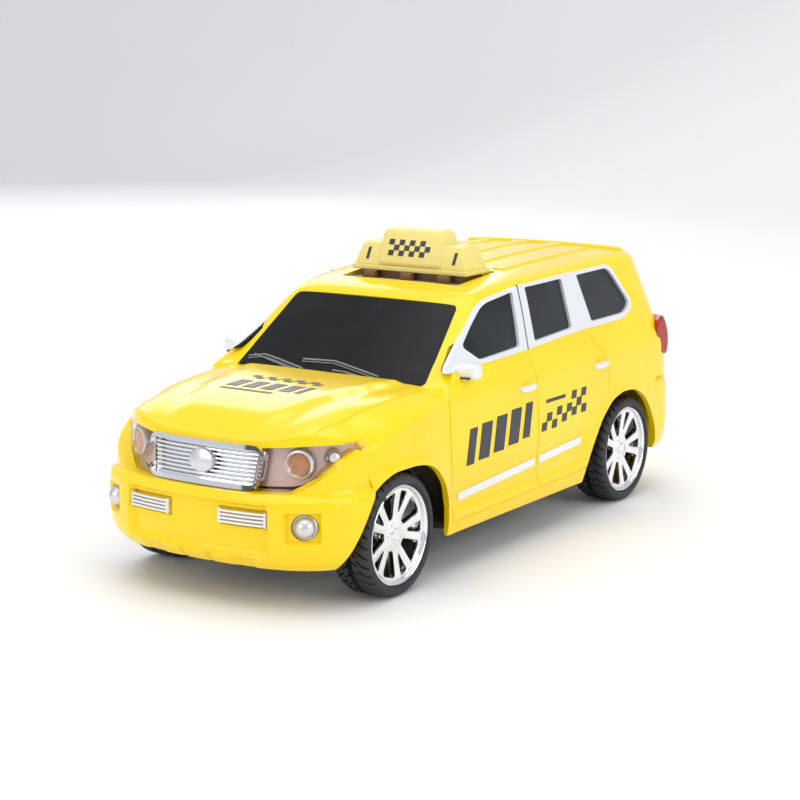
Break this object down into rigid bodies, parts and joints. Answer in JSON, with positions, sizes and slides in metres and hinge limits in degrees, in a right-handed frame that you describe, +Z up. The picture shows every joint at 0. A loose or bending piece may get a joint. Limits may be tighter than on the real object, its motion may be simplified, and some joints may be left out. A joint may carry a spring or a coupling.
{
  "type": "friction toy car",
  "caption": "Moulded plastic toy taxi with a roof sign, free-rolling wheels and a geared flywheel motor on its rear axle.",
  "frame": {"origin": "on the ground under the middle of the car, midway between the axles", "axes": "the car faces -Y, +X is the car's left side, +Z is up"},
  "size_m": [0.1016, 0.235, 0.1032],
  "materials": {
    "yellow_gloss": "glossy moulded yellow",
    "cream_plastic": "satin cream",
    "black_glass": "polished black",
    "clear_lens": "clear moulded lens",
    "red_lens": "polished red",
    "chrome": "vacuum-plated chrome",
    "silver_trim": "silver paint on plastic",
    "lamp_silver": "silvered plastic",
    "grey_insert": "matt grey-brown",
    "black_chassis": "matt black",
    "tyre_rubber": "soft black PVC",
    "white_gear": "natural acetal",
    "steel": "plated steel",
    "zinc": "turned steel slug"
  },
  "bodies": {
    "car": {"body_shell": "yellow_gloss", "front_bumper": "yellow_gloss", "rear_bumper": "yellow_gloss", "windscreen": "black_glass", "side_glass_left": "black_glass", "side_glass_right": "black_glass", "rear_glass": "black_glass", "window_trim_left": "silver_trim", "window_trim_right": "silver_trim", "side_strip_left": "silver_trim", "side_strip_right": "silver_trim", "front_door_handle_left": "silver_trim", "front_door_handle_right": "silver_trim", "rear_door_handle_left": "silver_trim", "rear_door_handle_right": "silver_trim", "mirror_left": "silver_trim", "mirror_right": "silver_trim", "bumper_vent_left": "silver_trim", "bumper_vent_right": "silver_trim", "headlight_lens_left": "clear_lens", "headlight_lens_right": "clear_lens", "headlight_reflector_left": "lamp_silver", "headlight_reflector_right": "lamp_silver", "fog_lamp_left": "lamp_silver", "fog_lamp_right": "lamp_silver", "grille": "chrome", "grille_badge": "chrome", "tail_lamp_left": "red_lens", "tail_lamp_right": "red_lens", "roof_sign": "cream_plastic", "sign_base": "grey_insert", "chassis": "black_chassis", "front_axle_clip": "black_chassis", "motor_housing": "black_chassis", "motor_cover": "black_chassis", "idler_shaft_1": "steel", "idler_shaft_2": "steel", "flywheel_shaft": "steel", "chassis_screw_front_left": "steel", "chassis_screw_front_right": "steel", "chassis_screw_rear_left": "steel", "chassis_screw_rear_right": "steel", "motor_screw_front": "steel", "motor_screw_rear": "steel"},
    "front_wheels": {"front_axle": "steel", "hub_front_left": "chrome", "hub_front_right": "chrome", "tyre_front_left": "tyre_rubber", "tyre_front_right": "tyre_rubber"},
    "rear_wheels": {"rear_axle": "steel", "axle_gear": "white_gear", "hub_rear_left": "chrome", "hub_rear_right": "chrome", "tyre_rear_left": "tyre_rubber", "tyre_rear_right": "tyre_rubber"},
    "idler_1": {"idler_gear_1": "white_gear"},
    "idler_2": {"idler_gear_2": "white_gear"},
    "flywheel": {"flywheel": "zinc"}
  },
  "joints": [
    {"name": "front_axle_spin", "type": "hinge", "parent": "car", "child": "front_wheels", "pos_m": [0, -0.075, 0.0192], "axis": [1, 0, 0], "continuous": true},
    {"name": "rear_axle_spin", "type": "hinge", "parent": "car", "child": "rear_wheels", "pos_m": [0, 0.075, 0.0192], "axis": [1, 0, 0], "continuous": true},
    {"name": "idler_1_spin", "type": "hinge", "parent": "car", "child": "idler_1", "pos_m": [0, 0.0699, 0.02803], "axis": [1, 0, 0], "continuous": true},
    {"name": "idler_2_spin", "type": "hinge", "parent": "car", "child": "idler_2", "pos_m": [0, 0.06032, 0.03152], "axis": [1, 0, 0], "continuous": true},
    {"name": "flywheel_spin", "type": "hinge", "parent": "car", "child": "flywheel", "pos_m": [0, 0.05073, 0.02803], "axis": [1, 0, 0], "continuous": true}
  ],
  "couplings": [
    {"joint": "idler_2_spin", "follows": "flywheel_spin", "ratio": -0.30769},
    {"joint": "idler_1_spin", "follows": "flywheel_spin", "ratio": 0.094675},
    {"joint": "rear_axle_spin", "follows": "flywheel_spin", "ratio": -0.029131}
  ]
}
